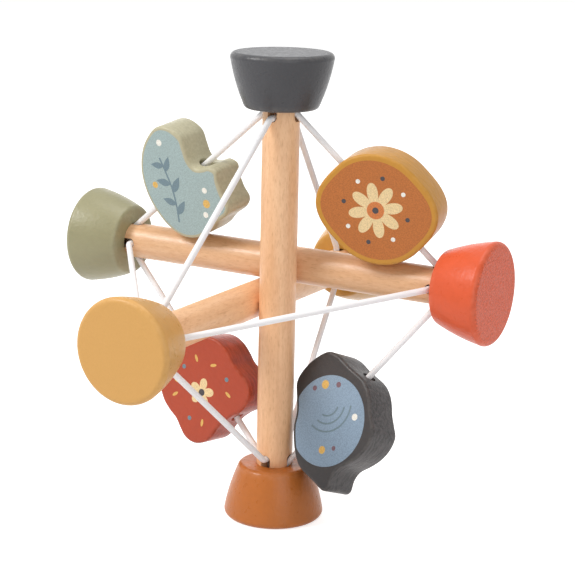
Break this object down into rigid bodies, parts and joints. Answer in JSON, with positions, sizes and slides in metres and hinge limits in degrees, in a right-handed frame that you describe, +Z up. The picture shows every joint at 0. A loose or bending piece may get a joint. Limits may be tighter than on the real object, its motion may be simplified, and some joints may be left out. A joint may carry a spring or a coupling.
{
  "type": "baby activity ball",
  "caption": "Octahedral wooden grasping toy: crossed dowels with tapered painted caps, laced by elastic cords on which animal-outline blocks slide and spin.",
  "frame": {"origin": "centre of the ball, midway between opposite cap faces", "axes": "+Z up through the top cap, +X to the right cap, -Y to the front cap"},
  "size_m": [0.18, 0.18, 0.18],
  "materials": {
    "natural_wood": "satin lacquer",
    "grey_paint": "satin paint",
    "terracotta_paint": "satin paint",
    "sage_paint": "satin paint",
    "coral_paint": "satin paint",
    "ochre_paint": "satin paint",
    "mustard_paint": "satin paint",
    "brick_paint": "satin paint",
    "slate_paint": "satin paint",
    "elastic": "woven"
  },
  "bodies": {
    "frame": {"upright_dowel": "natural_wood", "cross_dowel": "natural_wood", "depth_dowel": "natural_wood", "top_cap": "grey_paint", "bottom_cap": "terracotta_paint", "left_cap": "sage_paint", "right_cap": "coral_paint", "front_cap": "ochre_paint", "back_cap": "mustard_paint", "upright_loop": "elastic", "level_loop": "elastic", "side_loop_turns": "elastic"},
    "hippo_stretch": {"hippo_cord": "elastic"},
    "hippo": {"hippo_block": "sage_paint"},
    "round_stretch": {"round_cord": "elastic"},
    "round": {"round_block": "mustard_paint"},
    "bear_stretch": {"bear_cord": "elastic"},
    "bear": {"bear_block": "brick_paint"},
    "elephant_stretch": {"elephant_cord": "elastic"},
    "elephant": {"elephant_block": "slate_paint"}
  },
  "joints": [
    {"name": "hippo_spin", "type": "hinge", "parent": "frame", "child": "hippo_stretch", "pos_m": [-0.06817, 0.0071, 0.0131], "axis": [0.7729, -0.1584, 0.6144], "continuous": true},
    {"name": "hippo_slide", "type": "slide", "parent": "hippo_stretch", "child": "hippo", "axis": [0.7729, -0.1584, 0.6144], "range_m": [0, 0.018]},
    {"name": "round_spin", "type": "hinge", "parent": "frame", "child": "round_stretch", "pos_m": [0.06817, 0.0071, 0.0131], "axis": [-0.6956, -0.1794, 0.6956], "range_deg": [-110, 95]},
    {"name": "round_slide", "type": "slide", "parent": "round_stretch", "child": "round", "axis": [-0.6956, -0.1794, 0.6956], "range_m": [0, 0.01]},
    {"name": "bear_spin", "type": "hinge", "parent": "frame", "child": "bear_stretch", "pos_m": [0.0011, -0.0071, -0.06817], "axis": [-0.6998, 0.1435, 0.6998], "range_deg": [-150, 140]},
    {"name": "bear_slide", "type": "slide", "parent": "bear_stretch", "child": "bear", "axis": [-0.6998, 0.1435, 0.6998], "range_m": [0, 0.0305]},
    {"name": "elephant_spin", "type": "hinge", "parent": "frame", "child": "elephant_stretch", "pos_m": [0.0131, -0.0071, -0.06817], "axis": [0.6144, 0.1584, 0.7729], "range_deg": [-55, 110]},
    {"name": "elephant_slide", "type": "slide", "parent": "elephant_stretch", "child": "elephant", "axis": [0.6144, 0.1584, 0.7729], "range_m": [0, 0.029]}
  ]
}
